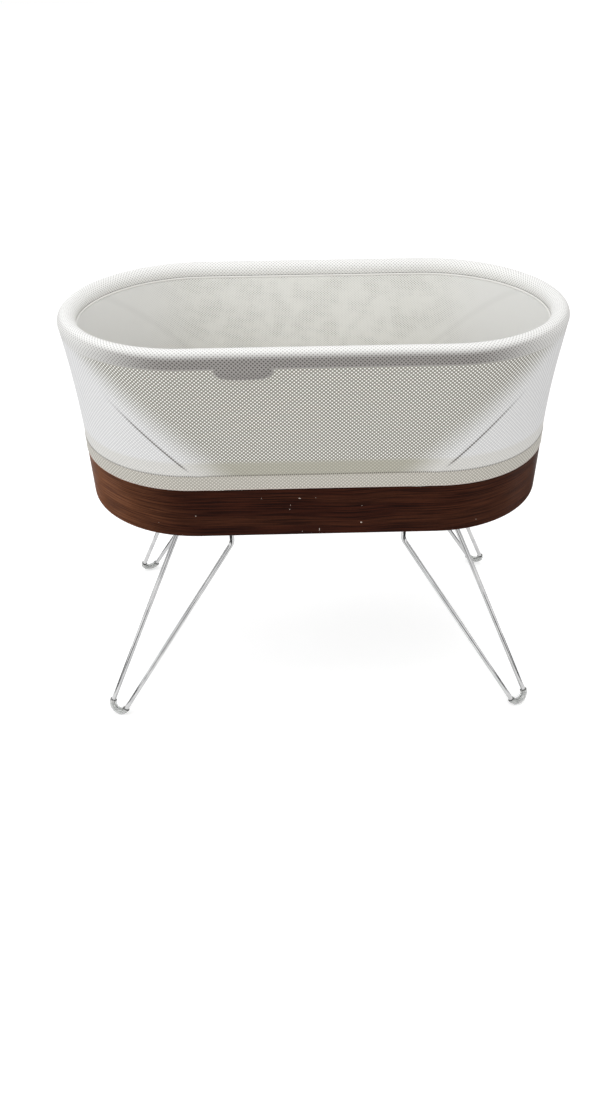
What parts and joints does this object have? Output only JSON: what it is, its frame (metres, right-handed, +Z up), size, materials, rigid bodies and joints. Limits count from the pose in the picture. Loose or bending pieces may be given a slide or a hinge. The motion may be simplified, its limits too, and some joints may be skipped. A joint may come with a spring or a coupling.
{
  "type": "rocking bassinet",
  "caption": "Oval mesh-walled bassinet with a padded rim and wood-faced base on splayed chromed hairpin legs; a motor rocks the mattress platform about a central bearing.",
  "frame": {"origin": "on the floor, under the middle of the base", "axes": "+X along the length, -Y towards the front long side, +Z up"},
  "size_m": [0.9118, 0.522, 0.787],
  "materials": {
    "white_mesh": "warm white open mesh, stretched",
    "liner_mesh": "pale grey-white mesh",
    "piping": "woven piping",
    "foam": "soft foam sleeve",
    "mattress_cover": "knitted white cover",
    "walnut": "satin walnut veneer, grain along the band",
    "ply": "birch ply, clear lacquer",
    "chrome": "polished chrome plating",
    "zinc_steel": "zinc-plated steel",
    "bearing_steel": "ground bearing steel",
    "aluminium": "drawn aluminium tube",
    "coated_steel": "powder-coated steel",
    "shell_plastic": "fine-textured moulding",
    "deck_plastic": "fine-textured moulding",
    "acetal": "slippery moulded acetal",
    "clear_rubber": "translucent grey elastomer",
    "brass": "machined brass",
    "circuit_board": "laminate with solder mask",
    "black_parts": "moulded packages",
    "paper_cone": "pressed paper",
    "button_plastic": "gloss moulding",
    "light_pipe": "clear light pipe"
  },
  "bodies": {
    "bassinet": {"band_screws": "zinc_steel", "base_pan": "shell_plastic", "bearing_balls": "bearing_steel", "bearing_inner_race": "bearing_steel", "board_components": "black_parts", "board_screws": "zinc_steel", "board_standoffs": "zinc_steel", "bracket_screws": "zinc_steel", "button_bezel": "button_plastic", "button_spring": "zinc_steel", "button_switch": "shell_plastic", "chassis_plate": "coated_steel", "control_board": "circuit_board", "deck_ring": "deck_plastic", "foot_pads": "clear_rubber", "gearbox": "zinc_steel", "glide_pads": "acetal", "hem_strip": "shell_plastic", "inlet_jack": "shell_plastic", "inner_liner": "liner_mesh", "leg_front_left": "chrome", "leg_front_right": "chrome", "leg_rear_left": "chrome", "leg_rear_right": "chrome", "leg_sockets": "zinc_steel", "light_ring": "light_pipe", "microphone_pod": "shell_plastic", "motor_bracket": "coated_steel", "motor_can": "aluminium", "outer_cover": "white_mesh", "pivot_nut": "zinc_steel", "pivot_post": "zinc_steel", "post_screws": "zinc_steel", "radio_switch_body": "shell_plastic", "rim_padding": "foam", "rim_tube": "aluminium", "seam_piping": "piping", "socket_bolts": "zinc_steel", "socket_grub_screws": "zinc_steel", "speaker_cone": "paper_cone", "speaker_frame": "shell_plastic", "strut_front_left": "coated_steel", "strut_front_right": "coated_steel", "strut_rear_left": "coated_steel", "strut_rear_right": "coated_steel", "strut_screws": "zinc_steel", "wood_band": "walnut"},
    "rocker": {"bearing_outer_race": "bearing_steel", "platform_hub": "zinc_steel", "hub_screws": "zinc_steel", "platform": "ply", "sack_clips": "deck_plastic", "clip_screws": "zinc_steel", "sector_gear": "acetal"},
    "mattress": {"mattress": "mattress_cover"},
    "pinion": {"pinion": "brass", "motor_shaft": "zinc_steel"},
    "button": {"power_button": "button_plastic"},
    "radio_switch": {"radio_switch_slider": "deck_plastic"}
  },
  "joints": [
    {"name": "platform_rock", "type": "hinge", "parent": "bassinet", "child": "rocker", "pos_m": [0, 0, 0.486], "axis": [0, 0, 1], "range_deg": [-2.5, 2.5]},
    {"name": "pinion_spin", "type": "hinge", "parent": "bassinet", "child": "pinion", "pos_m": [-0.132, 0, 0.512], "axis": [0, 0, 1], "range_deg": [-26, 26]},
    {"name": "mattress_lift", "type": "slide", "parent": "rocker", "child": "mattress", "axis": [0, 0, 1], "range_m": [0, 0.28]},
    {"name": "button_press", "type": "slide", "parent": "bassinet", "child": "button", "axis": [0, -1, 0], "range_m": [0, 0.0015], "stiffness_N_per_m": 300, "springref_m": -0.002, "deforming": ["button_spring"]},
    {"name": "radio_switch_slide", "type": "slide", "parent": "bassinet", "child": "radio_switch", "axis": [1, 0, 0], "range_m": [0, 0.004]}
  ],
  "couplings": [
    {"joint": "pinion_spin", "follows": "platform_rock", "ratio": -10}
  ]
}
